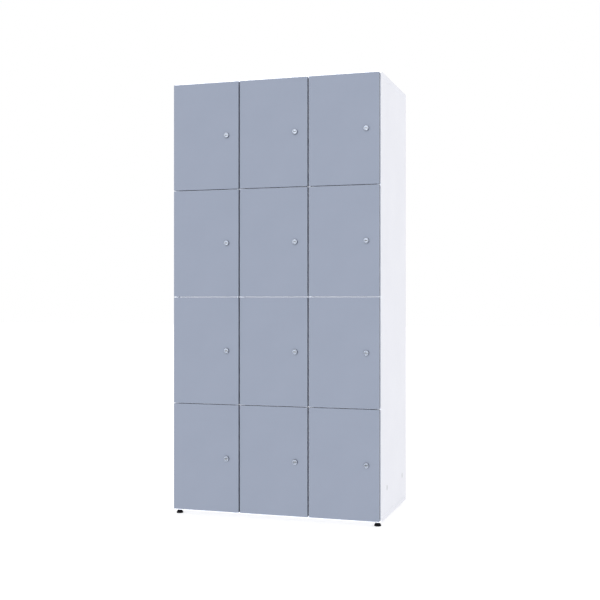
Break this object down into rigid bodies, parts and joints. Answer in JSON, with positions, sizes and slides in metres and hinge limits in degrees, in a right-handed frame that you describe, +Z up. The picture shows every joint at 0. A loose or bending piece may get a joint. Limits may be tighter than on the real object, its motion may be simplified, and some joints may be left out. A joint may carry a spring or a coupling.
{
  "type": "coin operated locker",
  "caption": "Free-standing bank of box lockers with flat overlay doors, a coin return lock in each door, white board carcass and low levelling feet.",
  "frame": {"origin": "middle of the footprint on the floor", "axes": "+Z up, the doors face -Y, +X to the right as one faces the doors"},
  "size_m": [0.9006, 0.532, 1.83],
  "materials": {
    "door_laminate": "slate blue-grey satin laminate on board",
    "white_board": "white melamine faced board, satin",
    "lock_metal": "nickel plated, bright",
    "lock_case": "dark grey moulded case",
    "foot_plastic": "black moulded plastic",
    "bolt_cap": "pale grey cap"
  },
  "bodies": {
    "carcass": {"top_board": "white_board", "bottom_board": "white_board", "back_board": "white_board", "side_panel_left": "white_board", "column_panel_c1_right": "white_board", "column_panel_c2_left": "white_board", "column_panel_c2_right": "white_board", "column_panel_c3_left": "white_board", "side_panel_right": "white_board", "shelf_c1_1": "white_board", "shelf_c1_2": "white_board", "shelf_c1_3": "white_board", "shelf_c2_1": "white_board", "shelf_c2_2": "white_board", "shelf_c2_3": "white_board", "shelf_c3_1": "white_board", "shelf_c3_2": "white_board", "shelf_c3_3": "white_board", "joining_bolt_front": "bolt_cap", "joining_bolt_rear": "bolt_cap"},
    "door_r1_c1": {"door_r1_c1": "door_laminate", "coin_lock_r1_c1": "lock_case"},
    "lock_cylinder_r1_c1": {"lock_cylinder_r1_c1": "lock_metal"},
    "door_r1_c2": {"door_r1_c2": "door_laminate", "coin_lock_r1_c2": "lock_case"},
    "lock_cylinder_r1_c2": {"lock_cylinder_r1_c2": "lock_metal"},
    "door_r1_c3": {"door_r1_c3": "door_laminate", "coin_lock_r1_c3": "lock_case"},
    "lock_cylinder_r1_c3": {"lock_cylinder_r1_c3": "lock_metal"},
    "door_r2_c1": {"door_r2_c1": "door_laminate", "coin_lock_r2_c1": "lock_case"},
    "lock_cylinder_r2_c1": {"lock_cylinder_r2_c1": "lock_metal"},
    "door_r2_c2": {"door_r2_c2": "door_laminate", "coin_lock_r2_c2": "lock_case"},
    "lock_cylinder_r2_c2": {"lock_cylinder_r2_c2": "lock_metal"},
    "door_r2_c3": {"door_r2_c3": "door_laminate", "coin_lock_r2_c3": "lock_case"},
    "lock_cylinder_r2_c3": {"lock_cylinder_r2_c3": "lock_metal"},
    "door_r3_c1": {"door_r3_c1": "door_laminate", "coin_lock_r3_c1": "lock_case"},
    "lock_cylinder_r3_c1": {"lock_cylinder_r3_c1": "lock_metal"},
    "door_r3_c2": {"door_r3_c2": "door_laminate", "coin_lock_r3_c2": "lock_case"},
    "lock_cylinder_r3_c2": {"lock_cylinder_r3_c2": "lock_metal"},
    "door_r3_c3": {"door_r3_c3": "door_laminate", "coin_lock_r3_c3": "lock_case"},
    "lock_cylinder_r3_c3": {"lock_cylinder_r3_c3": "lock_metal"},
    "door_r4_c1": {"door_r4_c1": "door_laminate", "coin_lock_r4_c1": "lock_case"},
    "lock_cylinder_r4_c1": {"lock_cylinder_r4_c1": "lock_metal"},
    "door_r4_c2": {"door_r4_c2": "door_laminate", "coin_lock_r4_c2": "lock_case"},
    "lock_cylinder_r4_c2": {"lock_cylinder_r4_c2": "lock_metal"},
    "door_r4_c3": {"door_r4_c3": "door_laminate", "coin_lock_r4_c3": "lock_case"},
    "lock_cylinder_r4_c3": {"lock_cylinder_r4_c3": "lock_metal"},
    "foot_front_left": {"foot_front_left": "foot_plastic"},
    "foot_front_right": {"foot_front_right": "foot_plastic"},
    "foot_rear_left": {"foot_rear_left": "foot_plastic"},
    "foot_rear_right": {"foot_rear_right": "foot_plastic"}
  },
  "joints": [
    {"name": "door_r1_c1_hinge", "type": "hinge", "parent": "carcass", "child": "door_r1_c1", "pos_m": [-0.4465, -0.259, 1.59862], "axis": [0, 0, -1], "range_deg": [0, 110]},
    {"name": "lock_r1_c1_turn", "type": "hinge", "parent": "door_r1_c1", "child": "lock_cylinder_r1_c1", "pos_m": [-0.2055, -0.259, 1.59862], "axis": [0, -1, 0], "range_deg": [0, 90]},
    {"name": "door_r1_c2_hinge", "type": "hinge", "parent": "carcass", "child": "door_r1_c2", "pos_m": [-0.1465, -0.259, 1.59862], "axis": [0, 0, -1], "range_deg": [0, 110]},
    {"name": "lock_r1_c2_turn", "type": "hinge", "parent": "door_r1_c2", "child": "lock_cylinder_r1_c2", "pos_m": [0.0945, -0.259, 1.59862], "axis": [0, -1, 0], "range_deg": [0, 90]},
    {"name": "door_r1_c3_hinge", "type": "hinge", "parent": "carcass", "child": "door_r1_c3", "pos_m": [0.1535, -0.259, 1.59862], "axis": [0, 0, -1], "range_deg": [0, 110]},
    {"name": "lock_r1_c3_turn", "type": "hinge", "parent": "door_r1_c3", "child": "lock_cylinder_r1_c3", "pos_m": [0.3945, -0.259, 1.59862], "axis": [0, -1, 0], "range_deg": [0, 90]},
    {"name": "door_r2_c1_hinge", "type": "hinge", "parent": "carcass", "child": "door_r2_c1", "pos_m": [-0.4465, -0.259, 1.14787], "axis": [0, 0, -1], "range_deg": [0, 110]},
    {"name": "lock_r2_c1_turn", "type": "hinge", "parent": "door_r2_c1", "child": "lock_cylinder_r2_c1", "pos_m": [-0.2055, -0.259, 1.14787], "axis": [0, -1, 0], "range_deg": [0, 90]},
    {"name": "door_r2_c2_hinge", "type": "hinge", "parent": "carcass", "child": "door_r2_c2", "pos_m": [-0.1465, -0.259, 1.14787], "axis": [0, 0, -1], "range_deg": [0, 110]},
    {"name": "lock_r2_c2_turn", "type": "hinge", "parent": "door_r2_c2", "child": "lock_cylinder_r2_c2", "pos_m": [0.0945, -0.259, 1.14787], "axis": [0, -1, 0], "range_deg": [0, 90]},
    {"name": "door_r2_c3_hinge", "type": "hinge", "parent": "carcass", "child": "door_r2_c3", "pos_m": [0.1535, -0.259, 1.14787], "axis": [0, 0, -1], "range_deg": [0, 110]},
    {"name": "lock_r2_c3_turn", "type": "hinge", "parent": "door_r2_c3", "child": "lock_cylinder_r2_c3", "pos_m": [0.3945, -0.259, 1.14787], "axis": [0, -1, 0], "range_deg": [0, 90]},
    {"name": "door_r3_c1_hinge", "type": "hinge", "parent": "carcass", "child": "door_r3_c1", "pos_m": [-0.4465, -0.259, 0.69712], "axis": [0, 0, -1], "range_deg": [0, 110]},
    {"name": "lock_r3_c1_turn", "type": "hinge", "parent": "door_r3_c1", "child": "lock_cylinder_r3_c1", "pos_m": [-0.2055, -0.259, 0.69712], "axis": [0, -1, 0], "range_deg": [0, 90]},
    {"name": "door_r3_c2_hinge", "type": "hinge", "parent": "carcass", "child": "door_r3_c2", "pos_m": [-0.1465, -0.259, 0.69712], "axis": [0, 0, -1], "range_deg": [0, 110]},
    {"name": "lock_r3_c2_turn", "type": "hinge", "parent": "door_r3_c2", "child": "lock_cylinder_r3_c2", "pos_m": [0.0945, -0.259, 0.69712], "axis": [0, -1, 0], "range_deg": [0, 90]},
    {"name": "door_r3_c3_hinge", "type": "hinge", "parent": "carcass", "child": "door_r3_c3", "pos_m": [0.1535, -0.259, 0.69712], "axis": [0, 0, -1], "range_deg": [0, 110]},
    {"name": "lock_r3_c3_turn", "type": "hinge", "parent": "door_r3_c3", "child": "lock_cylinder_r3_c3", "pos_m": [0.3945, -0.259, 0.69712], "axis": [0, -1, 0], "range_deg": [0, 90]},
    {"name": "door_r4_c1_hinge", "type": "hinge", "parent": "carcass", "child": "door_r4_c1", "pos_m": [-0.4465, -0.259, 0.24638], "axis": [0, 0, -1], "range_deg": [0, 110]},
    {"name": "lock_r4_c1_turn", "type": "hinge", "parent": "door_r4_c1", "child": "lock_cylinder_r4_c1", "pos_m": [-0.2055, -0.259, 0.24638], "axis": [0, -1, 0], "range_deg": [0, 90]},
    {"name": "door_r4_c2_hinge", "type": "hinge", "parent": "carcass", "child": "door_r4_c2", "pos_m": [-0.1465, -0.259, 0.24638], "axis": [0, 0, -1], "range_deg": [0, 110]},
    {"name": "lock_r4_c2_turn", "type": "hinge", "parent": "door_r4_c2", "child": "lock_cylinder_r4_c2", "pos_m": [0.0945, -0.259, 0.24638], "axis": [0, -1, 0], "range_deg": [0, 90]},
    {"name": "door_r4_c3_hinge", "type": "hinge", "parent": "carcass", "child": "door_r4_c3", "pos_m": [0.1535, -0.259, 0.24638], "axis": [0, 0, -1], "range_deg": [0, 110]},
    {"name": "lock_r4_c3_turn", "type": "hinge", "parent": "door_r4_c3", "child": "lock_cylinder_r4_c3", "pos_m": [0.3945, -0.259, 0.24638], "axis": [0, -1, 0], "range_deg": [0, 90]},
    {"name": "foot_front_left_thread", "type": "hinge", "parent": "carcass", "child": "foot_front_left", "pos_m": [-0.433, -0.226, 0], "axis": [0, 0, 1], "continuous": true},
    {"name": "foot_front_right_thread", "type": "hinge", "parent": "carcass", "child": "foot_front_right", "pos_m": [0.433, -0.226, 0], "axis": [0, 0, 1], "continuous": true},
    {"name": "foot_rear_left_thread", "type": "hinge", "parent": "carcass", "child": "foot_rear_left", "pos_m": [-0.405, 0.216, 0], "axis": [0, 0, 1], "continuous": true},
    {"name": "foot_rear_right_thread", "type": "hinge", "parent": "carcass", "child": "foot_rear_right", "pos_m": [0.405, 0.216, 0], "axis": [0, 0, 1], "continuous": true}
  ]
}
